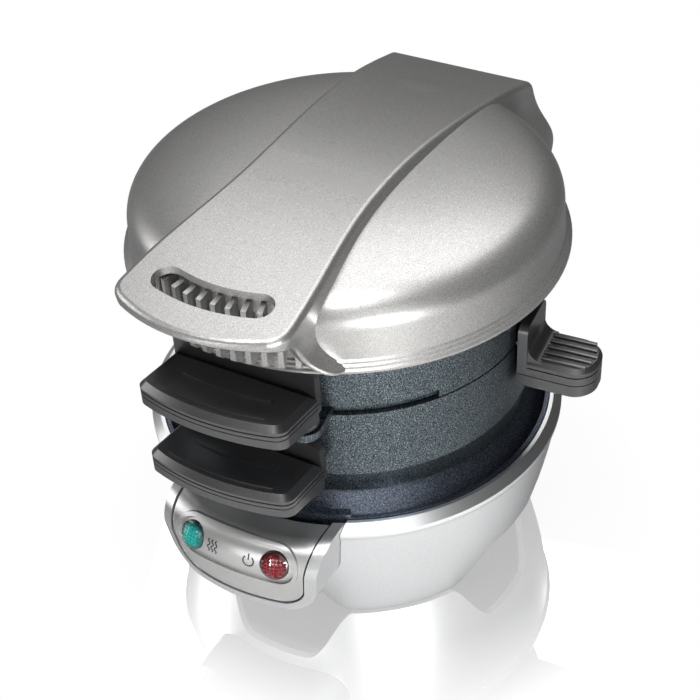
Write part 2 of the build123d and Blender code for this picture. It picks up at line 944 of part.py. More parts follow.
def make_ring_handle(height):
    """The upper and the lower shell of a ring handle."""
    solid = handle_body(height, 0)
    face = solid.faces().filter_by(Plane.XY, tolerance=20).sort_by(Axis.Z)[-1]
    front_edges = [e for e in face.edges() if e.center().Y < handle_guard_y - 1]
    solid = chamfer(front_edges, handle_bevel)
    groove = handle_slab(height, handle_groove_drop + handle_groove, handle_groove_drop)
    groove -= extrude(handle_plan(handle_groove), big)
    solid -= groove
    upper_zone = handle_slab(height, handle_split_drop, -handle_split_drop)
    lower_zone = handle_slab(height, big, handle_split_drop + running_gap)
    cavity = handle_body(height, handle_wall, handle_wall)
    guard = handle_guard(height)
    upper = (solid & upper_zone) - cavity
    upper += handle_ridges(height)
    upper += guard & handle_slab(height, handle_split_drop, -4 * handle_split_drop)
    lower = (solid & lower_zone) - cavity
    lower += guard & lower_zone
    for place in handle_screw_places(height):
        pillar = cylinder(handle_pillar_radius, -handle_screw_length - handle_pillar_extra, 0)
        pillar = place * pillar
        upper += pillar & solid & upper_zone
        lower += pillar & solid & lower_zone
    low = handle_tab_drop + handle_tab_thickness + seat_gap
    clear = handle_slab(height, low, handle_tab_drop - seat_gap) & block(
        -handle_tab_width / 2 - seat_gap,
        handle_tab_width / 2 + seat_gap,
        handle_guard_y - handle_guard_thickness - handle_tab_length - seat_gap,
        0,
        0,
        big,
    )
    root = offset(tab_root(height), seat_gap)
    lower -= clear
    lower -= root
    upper -= root
    for place in handle_screw_places(height):
        hole = place * screw_hole(handle_screw_length)
        upper -= hole
        lower -= hole
    return one_solid(upper), one_solid(lower)


def make_handle_screws(height):
    return [place * screw(handle_screw_length) for place in handle_screw_places(height)]


def tab_with_holes(height):
    tab = handle_tab(height) + tab_root(height)
    for place in handle_screw_places(height):
        tab -= place * screw_hole(handle_screw_length)
    return tab


def make_bottom_ring():
    ring = polygon_turned(
        [
            (ring_bore_radius, bottom_ring_z),
            (ring_foot_radius, bottom_ring_z),
            (ring_radius, bottom_ring_z + ring_foot_taper_height),
            (ring_radius, bottom_ring_top),
            (ring_bore_radius, bottom_ring_top),
        ]
    )
    ring += tab_with_holes(bottom_handle_height)
    low, high = [bottom_ring_top - drop for drop in bottom_arm_drops]
    for arm in arm_pair(0, low, high, handle_tab_root_radius):
        ring += arm
    ring -= cylinder(ring_bore_radius, 0, big)
    return ring


def ear_zone(grow, z_low, z_high):
    """The sector of the ring's wall that the thick edge of the cooking plate needs."""
    start, end = math.radians(ear_start_angle - grow), math.radians(ear_end_angle + grow)
    reach = 2 * ring_radius
    wedge = make_face(
        Polyline(
            (0, 0),
            (reach * math.cos(start), reach * math.sin(start)),
            (reach * math.cos(end), reach * math.sin(end)),
            close=True,
        )
    )
    return Pos(0, 0, z_low) * extrude(wedge, z_high - z_low)


def make_top_ring():
    ring = cylinder(ring_radius, top_ring_z, top_ring_top)
    ring -= ear_zone(ear_relief_angle, 0, relief_top)
    ring += tab_with_holes(top_handle_height)
    low, high = [top_ring_z + rise for rise in top_arm_rises]
    for arm in arm_pair(1, low, high, handle_tab_root_radius):
        ring += arm
    ring -= cylinder(ring_bore_radius, 0, big)
    return ring


def make_top_handle():
    upper, lower = make_ring_handle(top_handle_height)
    seam = handle_top(top_handle_height, pivot_y) - handle_split_drop - running_gap - seat_gap
    top = min(pivot_boss_height, seam)
    lower += cylinder(pivot_boss_diameter / 2, relief_top, top, pivot_x, pivot_y)
    lower -= cylinder(pivot_pin_diameter / 2, 0, pivot_pin_top + seat_gap, pivot_x, pivot_y)
    return upper, one_solid(lower)


def make_pivot_pin():
    low = cooking_plate_z - seat_gap - pivot_head_height
    pin = cylinder(pivot_pin_diameter / 2, low, pivot_pin_top, pivot_x, pivot_y)
    head = cylinder(pivot_head_diameter / 2, low, low + pivot_head_height, pivot_x, pivot_y)
    return pin + head


def side_frame(shape):
    return Rot(0, 0, side_handle_angle) * shape


def make_cooking_plate():
    """The round plate, with a thick drawn-in edge by its pivot ear and a strap to its handle."""
    plate = cylinder(cooking_plate_radius, cooking_plate_z, cooking_plate_top)
    recess = ear_zone(ear_relief_angle, 0, big)
    plate -= recess - cylinder(cooking_plate_recess_radius, 0, big)
    edge = cylinder(cooking_plate_recess_radius, cooking_plate_z, ear_top)
    edge -= cylinder(cooking_plate_seat_radius, 0, big)
    edge &= ear_zone(0, cooking_plate_z, ear_top)
    root = Pos(pivot_root_distance, 0) * Circle(pivot_root_radius)
    tip = Pos(math.hypot(pivot_x, pivot_y), 0) * Circle(pivot_ear_radius)
    outline = make_hull(root.edges() + tip.edges())
    ear = Pos(0, 0, cooking_plate_z) * extrude(outline, cooking_plate_ear_thickness)
    ear = Rot(0, 0, math.degrees(math.atan2(pivot_y, pivot_x))) * ear
    ear -= cylinder(cooking_plate_seat_radius, 0, big)
    plate += edge + ear
    plate -= cylinder(pivot_pin_diameter / 2 + seat_gap, 0, big, pivot_x, pivot_y)
    half = strap_half_width
    tab = block(strap_start_radius, strap_radius, -half, half, cooking_plate_z, cooking_plate_top)
    drop = side_handle_top - side_handle_split_drop - strap_split_gap
    inner, low = strap_radius - strap_thickness, drop - strap_thickness
    strap = block(inner, strap_radius, -half, half, low, cooking_plate_top)
    tongue = block(inner, strap_end_radius, -half, half, low, drop)
    plate += side_frame(tab + strap + tongue)
    for place in side_screw_places():
        plate -= place * screw_hole(side_screw_length)
    return plate


def side_plan(offset):
    """Plan outline of the side handle: straight sides and a round tip."""
    half = side_handle_half_width - offset
    tip = side_handle_reach - offset
    face = Pos((side_handle_root_radius + tip) / 2, 0) * Rectangle(
        tip - side_handle_root_radius, 2 * half
    )
    corners = face.vertices().group_by(Axis.X)[-1]
    return fillet(corners, side_handle_tip_radius - offset)


def side_body(offset, skin):
    low, high = side_handle_top - side_handle_thickness + skin, side_handle_top - skin
    return Pos(0, 0, low) * extrude(side_plan(offset), high - low)


def side_screw_places():
    height = side_handle_top - side_handle_thickness + screw_recess
    for side in (-1, 1):
        yield side_frame(Pos(side_screw_x, side * side_screw_y, height)) * Rot(180, 0, 0)


def free_edges(shape, group):
    """The edges of a side handle's top or bottom face that aren't on the guard."""
    edges = shape.edges().group_by(Axis.Z)[group]
    return [edge for edge in edges if edge.center().X > side_handle_root_radius + side_web_root]


def make_side_handle():
    """Upper shell with the guard and ribs, and the lower shell."""
    solid = side_body(0, 0)
    solid = chamfer(free_edges(solid, -1), side_top_bevel)
    solid = chamfer(free_edges(solid, 0), side_bottom_bevel)
    groove = extrude(side_plan(-1) - side_plan(handle_groove), handle_groove)
    groove = Pos(0, 0, side_handle_top - side_handle_groove_drop - handle_groove) * groove
    solid -= groove & block(side_handle_root_radius, big, -big, big, 0, big)
    seam = side_handle_top - side_handle_split_drop
    above = block(0, big, -big, big, seam, big)
    below = block(0, big, -big, big, 0, seam - running_gap)
    guard_face = Rectangle(2 * side_handle_half_width, side_guard_top - seam)
    guard_face = Pos(0, (seam + side_guard_top) / 2) * guard_face
    guard_face = fillet(guard_face.vertices().group_by(Axis.Y)[-1], side_guard_corner)
    guard = extrude(Plane.YZ * guard_face, side_guard_thickness)
    guard = Pos(side_handle_root_radius, 0, 0) * guard
    corner_x = side_handle_root_radius + side_guard_thickness
    round_x, round_z = corner_x + side_guard_fillet, side_handle_top + side_guard_fillet
    half = side_handle_half_width - side_web_inset
    web = block(corner_x, round_x, -half, half, side_handle_top - side_web_root, round_z)
    web -= rod((round_x, -big, round_z), (round_x, big, round_z), side_guard_fillet)
    cavity = side_body(handle_wall, handle_wall)
    upper = (solid & above) - cavity + guard + web
    start = round_x - side_web_root
    for index in range(side_rib_count):
        shift = (index - (side_rib_count - 1) / 2) * side_rib_pitch
        rib = block(
            start,
            start + side_rib_length - abs(shift) * side_rib_trim,
            shift - side_rib_width / 2,
            shift + side_rib_width / 2,
            side_handle_top - side_rib_root,
            side_handle_top + side_rib_rise,
        )
        ridge = rib.edges().filter_by(Axis.X).group_by(Axis.Z)[-1]
        upper += fillet(ridge, side_rib_rounding)
    lower = (solid & below) - cavity
    inside = side_body(side_pillar_inset, side_pillar_inset)
    pillar = cylinder(side_pillar_radius, -side_screw_length - side_pillar_extra, 0)
    for place in side_screw_places():
        local = Rot(0, 0, -side_handle_angle) * place
        upper += local * pillar & inside & above
        lower += local * pillar & inside & below
    half = strap_half_width + seat_gap
    inner, outer = strap_radius - strap_thickness - seat_gap, strap_radius + seat_gap
    drop = seam - strap_split_gap
    low, top = drop - strap_thickness - seat_gap, cooking_plate_top + seat_gap
    room = block(inner, outer, -half, half, low, top)
    room += block(inner, strap_end_radius + seat_gap, -half, half, low, drop + seat_gap)
    room += block(0, outer, -half, half, cooking_plate_z - seat_gap, top)
    upper, lower = side_frame(upper - room), side_frame(lower - room)
    for place in side_screw_places():
        hole = place * screw_hole(side_screw_length)
        upper -= hole
        lower -= hole
    return one_solid(upper), one_solid(lower)


def make_side_handle_screws():
    return [place * screw(side_screw_length) for place in side_screw_places()]


# ---------------------------------------------------------------- cover


def cover_form(offset):
    """The dome as a closed solid of revolution, or with an offset, the space under its wall."""
    z = cover_rim_z
    crown = (0, 0, z + cover_crown_rise - offset)
    shoulder = (cover_shoulder_radius - offset, 0, z + cover_shoulder_rise)
    stops = []
    for radius, rise in cover_profile:
        share = radius / cover_shoulder_radius
        stops.append((radius - offset * share**2, 0, z + rise - offset * (1 - share**4)))
    top = Spline(crown, *stops, shoulder, tangents=[(1, 0, 0), (0, 0, -1)])
    steps = [shoulder, (cover_junction_radius - offset, 0, z + cover_rim_height)]
    if offset <= 0:
        rise = cover_rim_height / cover_step_count
        run = (cover_radius - cover_junction_radius) / cover_step_count
        for index in range(cover_step_count):
            reach = cover_junction_radius + (index + 1) * run - offset
            ledge = z + cover_rim_height - index * rise
            steps.append((reach, 0, ledge - cover_step_share * rise))
            steps.append((reach, 0, ledge - rise))
    else:
        steps.append((steps[-1][0], 0, z - offset))
    steps += [(0, 0, steps[-1][2]), crown]
    return turned([top, Polyline(*steps)])


def band_spine(drop):
    """The two arcs of the band's spine, lowered by a drop, and their two ends."""
    top = cover_rim_z + band_crown_rise - drop
    y_front, y_rear = band_nose_y + drop, band_rear_y - drop / 2
    crown = (0, band_crown_y, top)
    nose = (0, y_front, top - band_nose_drop)
    heel = (0, y_rear, top - band_rear_drop)
    arcs = []
    for end, fall in ((nose, band_nose_drop), (heel, band_rear_drop)):
        run = end[1] - band_crown_y
        radius = (run**2 + fall**2) / (2 * fall)
        middle = (0, band_crown_y + run / 2, top - radius + math.sqrt(radius**2 - run**2 / 4))
        arcs.append(ThreePointArc(crown, middle, end))
    return arcs, nose, heel


def band_side(drop):
    """Side view of the band, or with a drop, of the space inside it."""
    rim = cover_rim_z
    spine, nose, heel = band_spine(drop)
    rear = flap_rear_y - drop
    if drop > 0:
        low = rim - 2 * flap_depth
        rest = Polyline(heel, (0, rear, low), (0, nose[1], low), nose)
        return make_face(spine + [rest])
    lip = (0, nose[1], nose[2] - band_lip_thickness)
    turn = (0, band_nose_sides_y + band_sweep_turn, lip[2] - band_sweep_turn)
    middle = (0, band_nose_sides_y + band_sweep_run, lip[2] - band_sweep_drop)
    foot = (0, band_foot_y, rim)
    sweep_up = Spline(foot, middle, turn, lip, tangents=[(0, -1, 0), (0, -1, 0.1)])
    low = rim - flap_depth
    flap_front = (0, hinge_y + knuckle_radius, low)
    rest = Polyline(heel, (0, rear, low), flap_front, (0, band_heel_y, rim), foot)
    face = make_face(spine + [Line(lip, nose), sweep_up, rest])
    corner = face.vertices().sort_by_distance(heel)[0]
    return fillet(corner, band_rear_corner)


def band_plan(front, knee, middle, rear):
    """Plan outline of the band at one level, from four half widths."""
    nose, sides, end = band_nose_y, band_nose_sides_y, flap_rear_y + band_rear_corner
    depth = sides - nose
    bow_radius = (front**2 + depth**2) / (2 * depth)
    turn = front - band_corner
    bow_end = (turn, nose + bow_radius - math.sqrt(bow_radius**2 - turn**2))
    lean = (front - knee) / (band_foot_y - sides)
    side_start = (front - lean * band_corner, sides + band_corner)
    waist = [(middle, band_waist_front_y), (middle, band_waist_rear_y)]
    corner = Bezier(bow_end, (front, sides), side_start)
    right = Spline(side_start, (knee, band_foot_y), *waist, (rear, end))
    bow = ThreePointArc((-turn, bow_end[1]), (0, nose), bow_end)
    half = [corner, right]
    return make_face([bow, *half, *mirror(half, Plane.YZ), Line((rear, end), (-rear, end))])


def band_form(inset, drop):
    """The band as a closed solid, or the space inside it."""
    levels = []
    for rise, widths in band_levels:
        plan = band_plan(*[width - inset for width in widths])
        levels.append(Pos(0, inset, cover_rim_z + rise) * plan)
    side = extrude(band_side(drop), 2 * band_levels[0][1][0], both=True)
    return loft(levels) & side


def slot_cutter():
    centre = slot_centre_y + slot_arc_radius
    half = math.degrees(math.asin((slot_half_length - slot_width / 2) / slot_arc_radius))
    arc = CenterArc((0, centre), slot_arc_radius, -90 - half, 2 * half)
    return extrude(SlotArc(arc, slot_width), big)


def flap_notch():
    """Room for the post and the arms under the rear flap."""
    half = knuckle_span(2)[1] + flap_notch_side_gap
    top = hinge_z + knuckle_radius + flap_notch_rise
    return block(-half, half, cover_radius + running_gap, big, 0, top)


def rounded_band():
    """The band with the edge round its top rounded, then the edges of its lip and sweep."""
    band = band_form(0, 0)
    corner_end = band_nose_sides_y + band_corner
    top, low = [], []
    for edge in band.edges():
        middle, length = edge.center(), edge.bounding_box().size.Y
        if middle.Z > cover_rim_z + cover_shoulder_rise and length > band_edge_radius:
            if abs(middle.X) > band_half_width / 2 and middle.Y > corner_end:
                top.append(edge)
    band = fillet(top, band_edge_radius)
    lip_low = cover_rim_z + band_crown_rise - band_nose_drop - band_lip_thickness
    for edge in band.edges():
        middle = edge.center()
        under = cover_rim_z + band_lip_radius < middle.Z < lip_low + band_lip_radius / 4
        if under and middle.Y < band_foot_y and edge.length > 2 * band_lip_radius:
            low.append(edge)
    return fillet(low, band_lip_radius)


def make_cover_shell():
    """Dome and band in one moulding, hollow from below."""
    dome = cover_form(0)
    shell = dome + rounded_band()
    front = block(-big, big, -big, 0, 0, big)
    hollow = band_form(cover_wall, cover_wall) - (dome & front)
    shell -= cover_form(cover_wall)
    shell -= hollow
    shell -= flap_notch()
    slot_floor = cover_rim_z + band_crown_rise - band_nose_drop - 3 * cover_wall
    shell -= slot_cutter() & block(-big, big, -big, 0, slot_floor, big)
    for place in liner_screw_places():
        boss = place * cylinder(liner_boss_radius, 0, liner_boss_length)
        shell += boss & cover_form(cover_wall / 2)
        shell -= upside_down(place) * screw_hole(liner_screw_length)
    return one_solid(shell)


def comb_angles():
    step = math.degrees(comb_rib_pitch / slot_arc_radius)
    return [step * (index - (comb_rib_count - 1) / 2) for index in range(comb_rib_count)]


def make_handle_comb():
    """Ribs under the slot's rear edge, with their rail under the band's skin."""
    centre = slot_centre_y + slot_arc_radius
    edge = slot_arc_radius - slot_width / 2
    rear, front = edge - comb_rib_behind, edge + comb_rib_ahead
    top = cover_rim_z + band_crown_rise
    foot = cover_rim_z + comb_foot_rise
    rib_outline = Polyline(
        (rear, 0, top),
        (front, 0, top),
        (front, 0, foot + comb_rib_bevel),
        (front - comb_rib_bevel, 0, foot),
        (rear, 0, foot),
        close=True,
    )
    rib = extrude(make_face(rib_outline), comb_rib_width / 2, both=True)
    angles = comb_angles()
    ribs = Part() + [Pos(0, centre, 0) * Rot(0, 0, angle - 90) * rib for angle in angles]
    ribs &= band_form(comb_top_drop, comb_top_drop)
    rail_arc = CenterArc((0, centre), rear, -90 + angles[0], 2 * angles[-1])
    rail = extrude(SlotArc(rail_arc, comb_rail_width), top)
    rail_low = top - band_nose_drop - cover_wall - comb_rail_height
    rail &= block(-big, big, -big, 0, rail_low, big)
    rail &= band_form(cover_wall + seat_gap, cover_wall + seat_gap)
    return one_solid(ribs + rail - cover_form(-seat_gap))


def upside_down(place):
    """A liner screw's place, its head's seat turned down."""
    return place * Pos(0, 0, -liner_thickness) * Rot(180, 0, 0)


def liner_screw_places():
    for side in (-1, 1):
        for turn in (liner_boss_angle, 180 - liner_boss_angle):
            radians = math.radians(side * turn)
            x, y = liner_boss_circle * math.cos(radians), liner_boss_circle * math.sin(radians)
            yield Pos(x, y, liner_z + liner_thickness)


def make_cover_liner():
    """The ring that closes the lid from below, with arms to its own knuckles."""
    reach = cover_junction_radius - cover_wall - liner_rim_gap
    low, high = liner_z, liner_z + liner_thickness
    liner = cylinder(reach, low, high)
    inner, outer = knuckle_span(2)
    profile = Polyline(
        (inner, reach - liner_arm_root, low),
        (inner, reach - liner_arm_root, high),
        (inner, hinge_y - liner_arm_drop, high),
        (inner, hinge_y + arm_top_rise, hinge_z + liner_arm_rise),
        (inner, hinge_y - post_rear_reach, hinge_z - liner_arm_low),
        (inner, hinge_y - knuckle_radius - liner_arm_neck, low - liner_arm_drop),
        (inner, reach - liner_arm_front, low),
        close=True,
    )
    arm = extrude(make_face(profile), knuckle_width, dir=(1, 0, 0))
    arm += rod((inner, hinge_y, hinge_z), (outer, hinge_y, hinge_z), knuckle_radius)
    arm -= rod((0, hinge_y, hinge_z), (big, hinge_y, hinge_z), pin_bore_radius)
    for piece in mirrored_pair(arm):
        liner += piece
    liner -= cylinder(heating_plate_radius + running_gap, 0, liner_z + liner_step)
    liner -= cylinder(heating_plate_radius - liner_lap, 0, big)
    for place in liner_screw_places():
        liner -= upside_down(place) * screw_hole(liner_screw_length)
    return liner


def make_upper_heating_plate():
    low = upper_plate_bottom
    edge = heating_plate_radius - upper_plate_edge_gap
    plate = cylinder(edge, low, low + heating_plate_thickness)
    plate = fillet(plate.edges().group_by(Axis.Z)[0], heating_plate_rounding)
    plate &= cylinder(big, 0, liner_z + liner_step - seat_gap)
    return plate + cylinder(heating_plate_radius - upper_plate_step, low, upper_plate_top)


def make_upper_cutout():
    low = upper_plate_top + seat_gap
    radius = thermostat_diameter / 2 - cutout_inset
    return cylinder(radius, low, low + thermostat_height - cutout_inset)


def make_cover_screws():
    return [upside_down(place) * screw(liner_screw_length) for place in liner_screw_places()]


def make_cover_wiring():
    """Two wires from the cut-out to the rear of the lid."""
    radius = wire_diameter / 2
    level = upper_plate_top + radius + seat_gap
    wires = []
    for side in (-1, 1):
        x = side * (thermostat_diameter / 2 - cutout_inset + radius + seat_gap)
        bend = (x, element_radius - cover_wire_setback, level)
        end = (x + side * cover_wire_spread, liner_boss_circle - cover_wire_end_setback, level)
        path = FilletPolyline((x, 0, level), bend, end, radius=wire_bend_radius)
        wires.append(sweep(Plane(origin=(x, 0, level), z_dir=path % 0) * Circle(radius), path))
    return wires


# ---------------------------------------------------------------- write the pieces


def build():
    top_upper, top_lower = make_top_handle()
    bottom_upper, bottom_lower = make_ring_handle(bottom_handle_height)
    side_upper, side_lower = make_side_handle()
    green, red = [make_lens(place) for place in lamp_places()]
    return {
        "base_housing": make_base_housing(),
        "bottom_cover": make_bottom_cover(),
        "bottom_cover_screws": make_bottom_cover_screws(),
        "rubber_feet": make_rubber_feet(),
        "base_tray": make_base_tray(),
        "lower_heating_plate": make_lower_heating_plate(),
        "lower_heating_element": element(lower_element_z()),
        "lower_thermostat": make_lower_thermostat(),
        "lower_thermal_fuse": make_thermal_fuse(plate_top - heating_plate_thickness, 1),
        "control_panel_frame": make_control_panel_frame(),
        "control_panel": make_control_panel(),
        "preheat_lens": green,
        "power_lens": red,
        "lamp_holders": make_lamp_holders(),
        "terminal_block": make_terminal_block(),
        "base_wiring": make_base_wiring(),
        "cord_bushing": make_cord_bushing(),
        "hinge_bracket": make_hinge_bracket(),
        "hinge_bracket_screws": make_bracket_screws(),
        "hinge_pin": make_hinge_pin(),
        "bottom_ring": make_bottom_ring(),
        "bottom_ring_handle_upper": bottom_upper,
        "bottom_ring_handle_lower": bottom_lower,
        "bottom_ring_handle_screws": make_handle_screws(bottom_handle_height),
        "top_ring": make_top_ring(),
        "top_ring_handle_upper": top_upper,
        "top_ring_handle_lower": top_lower,
        "top_ring_handle_screws": make_handle_screws(top_handle_height),
        "pivot_pin": make_pivot_pin(),
        "cooking_plate": make_cooking_plate(),
        "side_handle_upper": side_upper,
        "side_handle_lower": side_lower,
        "side_handle_screws": make_side_handle_screws(),
        "cover_shell": make_cover_shell(),
        "handle_comb": make_handle_comb(),
        "cover_liner": make_cover_liner(),
        "upper_heating_plate": make_upper_heating_plate(),
        "upper_heating_element": element(upper_plate_top + element_diameter / 2 + seat_gap),
        "upper_thermal_cutout": make_upper_cutout(),
        "cover_wiring": make_cover_wiring(),
        "cover_screws": make_cover_screws(),
    }


os.makedirs("parts", exist_ok=True)
to_origin = Pos(ring_centre_x, ring_centre_y, 0)
for name, shape in build().items():
    shapes = shape if isinstance(shape, list) else [shape]
    whole = Compound(children=[to_origin * piece for piece in shapes])
    export_step(whole, os.path.join("parts", name + ".step"))
    print(name, len(whole.solids()), round(whole.volume))
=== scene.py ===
import math

import bmesh
import bpy
from mathutils import Matrix, Vector
from mathutils.bvhtree import BVHTree


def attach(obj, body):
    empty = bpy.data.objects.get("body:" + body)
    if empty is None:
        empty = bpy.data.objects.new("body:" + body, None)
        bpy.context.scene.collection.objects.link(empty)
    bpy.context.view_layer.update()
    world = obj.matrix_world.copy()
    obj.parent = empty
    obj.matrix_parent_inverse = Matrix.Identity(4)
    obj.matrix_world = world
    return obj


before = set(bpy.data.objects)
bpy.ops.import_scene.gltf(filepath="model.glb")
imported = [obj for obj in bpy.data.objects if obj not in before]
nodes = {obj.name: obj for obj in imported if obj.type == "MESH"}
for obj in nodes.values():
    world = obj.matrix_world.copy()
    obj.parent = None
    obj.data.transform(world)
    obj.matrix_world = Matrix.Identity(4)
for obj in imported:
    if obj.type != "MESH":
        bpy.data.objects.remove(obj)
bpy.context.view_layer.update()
mm = 0.001


def say(stage):
    print("scene:", stage)


# node trees and shader sums

def addNode(tree, kind, settings, inputs):
    # one node: its settings first, then the values or links of its sockets
    made = tree.nodes.new(kind)
    for key, setting in settings.items():
        setattr(made, key, setting)
    for key, value in inputs.items():
        feed(tree, made.inputs[key], value)
    return made.outputs


def feed(tree, socket, value):
    if isinstance(value, Value):
        value = value.socket
    if isinstance(value, bpy.types.NodeSocket):
        tree.links.new(value, socket)
    elif isinstance(value, tuple) and len(value) == 3 and socket.type == "RGBA":
        socket.default_value = (*value, 1.0)
    else:
        socket.default_value = value


class Value:
    # a shader socket that takes part in plain sums
    def __init__(self, shader, socket):
        self.shader, self.socket = shader, socket

    def maths(self, operation, first, second):
        return self.shader.node("ShaderNodeMath", {"operation": operation}, {0: first, 1: second})

    def __add__(self, other):
        return self.maths("ADD", self, other)

    def __mul__(self, other):
        return self.maths("MULTIPLY", self, other)

    def __rsub__(self, other):
        return self.maths("SUBTRACT", other, self)

    __radd__, __rmul__ = __add__, __mul__


class Shader:
    # one Principled material and the nodes that feed it
    socketNames = {
        "Base": "Base Color", "Coat": "Coat Weight", "CoatRoughness": "Coat Roughness",
        "Specular": "Specular IOR Level", "Glow": "Emission Color", "GlowStrength": "Emission Strength",
    }

    def __init__(self, name, **plain):
        self.material = bpy.data.materials.new(name)
        self.material.use_nodes = True
        self.tree = self.material.node_tree
        self.principled = self.tree.nodes["Principled BSDF"]
        self.place = self.node("ShaderNodeTexCoord", {}, {}, "Object")
        self.set(**plain)

    def node(self, kind, settings, inputs, output=0):
        return Value(self, addNode(self.tree, kind, settings, inputs)[output])

    def set(self, **sockets):
        for key, value in sockets.items():
            feed(self.tree, self.principled.inputs[self.socketNames.get(key, key)], value)

    def noise(self, scale, detail=2.0, roughness=0.5):
        inputs = {"Vector": self.place, "Scale": scale, "Detail": detail, "Roughness": roughness}
        return self.node("ShaderNodeTexNoise", {}, inputs, "Fac")

    def between(self, value, low, high, lowOut=0.0, highOut=1.0):
        inputs = {0: value, 1: low, 2: high, 3: lowOut, 4: highOut}
        return self.node("ShaderNodeMapRange", {"clamp": True}, inputs)

    def mix(self, share, first, second):
        return self.node("ShaderNodeMix", {"data_type": "RGBA"}, {0: share, 6: first, 7: second}, 2)

    def vector(self, operation, first, second=None, output="Value"):
        inputs = {0: first} if second is None else {0: first, 1: second}
        return self.node("ShaderNodeVectorMath", {"operation": operation}, inputs, output)

    def height(self):
        return self.node("ShaderNodeSeparateXYZ", {}, {0: self.place}, "Z")

    def bump(self, height, strength, distance):
        inputs = {"Height": height, "Strength": strength, "Distance": distance}
        self.set(Normal=self.node("ShaderNodeBump", {}, inputs))


# camera and stage

ringCentre = Vector((-6.44 * mm, -0.15 * mm, 0.0))  # the cooking rings' centre line, as in the CAD

cameraView = {
    "azimuth": 30.68,  # degrees to the right of the front
    "elevation": 39.75,
    "distance": 466.58 * mm,
    "aimHeight": 60.6 * mm,
    "aimSide": -1.29 * mm,
    "roll": -3.40,
    "focal": 76.87,
    "sensor": 36.0,
    "clip": (0.01, 50.0),
}


def makeCamera(view):
    azimuth, elevation = math.radians(view["azimuth"]), math.radians(view["elevation"])
    roll = math.radians(view["roll"])
    back = Vector((
        math.sin(azimuth) * math.cos(elevation),
        -math.cos(azimuth) * math.cos(elevation),
        math.sin(elevation),
    ))
    right = Vector((math.cos(azimuth), math.sin(azimuth), 0))
    up = back.cross(right)
    aim = ringCentre + right * view["aimSide"] + Vector((0, 0, view["aimHeight"]))
    place = aim + back * view["distance"]
    xAxis = right * math.cos(roll) + up * math.sin(roll)
    yAxis = up * math.cos(roll) - right * math.sin(roll)
    turn = Matrix((xAxis, yAxis, back)).transposed().to_4x4()
    data = bpy.data.cameras.new("productCamera")
    data.sensor_width, data.lens = view["sensor"], view["focal"]
    data.clip_start, data.clip_end = view["clip"]
    camera = bpy.data.objects.new("productCamera", data)
    camera.matrix_world = Matrix.Translation(place) @ turn
    bpy.context.collection.objects.link(camera)
    bpy.context.scene.camera = camera


studio = {
    # the floor's colour holds painted light and shade: lighter towards floorTurn, standing in for light
    # falling on the floor from there, and darker elsewhere
    "floorPaintedLight": (0.64, 0.64, 0.64),
    "floorPaintedShade": (0.14, 0.14, 0.145),
    "floorTurn": 32.0,  # degrees to the right of the front, where the floor's colour is painted lightest
    "floorFade": (0.10, 0.80),  # cosines from that way over which the floor's colour goes from painted shade to painted light
    "floorRoughness": 0.6,
    "floorSpecular": 0.2,
    "floorRadius": 6.0,
    "floorSides": 96,
    "floorDrop": 0.2 * mm,  # so that the feet and the floor don't share a plane
    "floorMirror": 0.46,  # share of mirror in the floor under the object
    "mirrorFade": (0.066, 0.094),  # metres from the middle over which the mirror fades out
    "floorShade": 0.10,  # share of plain shaded floor under the object
    "shadeFade": (0.050, 0.092),
    "skyBright": 0.10,
    "skyDark": 0.04,
    "skyTurn": -30.0,  # degrees to the right of the front, where the sky is brightest
    "skyRise": 60.0,
    "skyFade": (-0.35, 0.95),  # cosines from that way over which it goes from dark to bright
    "skyColour": (0.97, 0.985, 1.0),
    "white": (1.0, 1.0, 1.0),
    "lampAim": 70 * mm,  # height that the lamps point at
    "lamps": {  # degrees to the right of the front, degrees up, metres away, width, height, watts
        "frontStrip": (45, 4, 0.75, 0.09, 0.26, 5.6),
        "frontLow": (-8, 10, 1.0, 0.40, 0.45, 2.0),
        "frontHigh": (42, 37, 1.0, 0.50, 0.40, 1.2),
        "topFront": (2, 73, 1.1, 0.60, 0.60, 10.6),
        "topBack": (194, 64, 1.1, 0.95, 0.75, 7.6),
        "leftSide": (-72, 26, 1.0, 0.50, 0.50, 2.8),
    },
}


def aimed(turn, rise, far=1.0):
    turn, rise = math.radians(turn), math.radians(rise)
    flat = math.cos(rise) * far
    return Vector((math.sin(turn) * flat, -math.cos(turn) * flat, math.sin(rise) * far))


def floorMaterial(look):
    # shaded floor whose colour holds painted light towards the front right and painted shade elsewhere,
    # for the light on the object, and white with a soft mirror for the camera
    shader = Shader("floorWhite", Roughness=look["floorRoughness"], Specular=look["floorSpecular"])
    way = shader.vector("NORMALIZE", shader.place, output="Vector")
    # painted light and shade: the floor's colour is lighter towards floorTurn and darker away from it
    facing = shader.vector("DOT_PRODUCT", way, aimed(look["floorTurn"], 0))
    light = shader.between(facing, *look["floorFade"])
    shader.set(Base=shader.mix(light, look["floorPaintedShade"], look["floorPaintedLight"]))
    away = shader.vector("LENGTH", shader.place)
    shade = (1.0 - shader.between(away, *look["shadeFade"])) * look["floorShade"]
    shine = (1.0 - shader.between(away, *look["mirrorFade"])) * look["floorMirror"]
    seen = shader.node("ShaderNodeLightPath", {}, {}, "Is Camera Ray")
    mirror = shader.node("ShaderNodeBsdfGlossy", {}, {"Color": look["white"], "Roughness": 0.0})
    glow = shader.node("ShaderNodeEmission", {}, {"Color": look["white"], "Strength": 1.0})
    matte = Value(shader, shader.principled.outputs[0])
    bright = shader.node("ShaderNodeMixShader", {}, {0: shade, 1: glow, 2: matte})
    glossy = shader.node("ShaderNodeMixShader", {}, {0: shine, 1: bright, 2: mirror})
    whole = shader.node("ShaderNodeMixShader", {}, {0: seen, 1: matte, 2: glossy})
    shader.tree.links.new(whole.socket, shader.tree.nodes["Material Output"].inputs[0])
    return shader.material


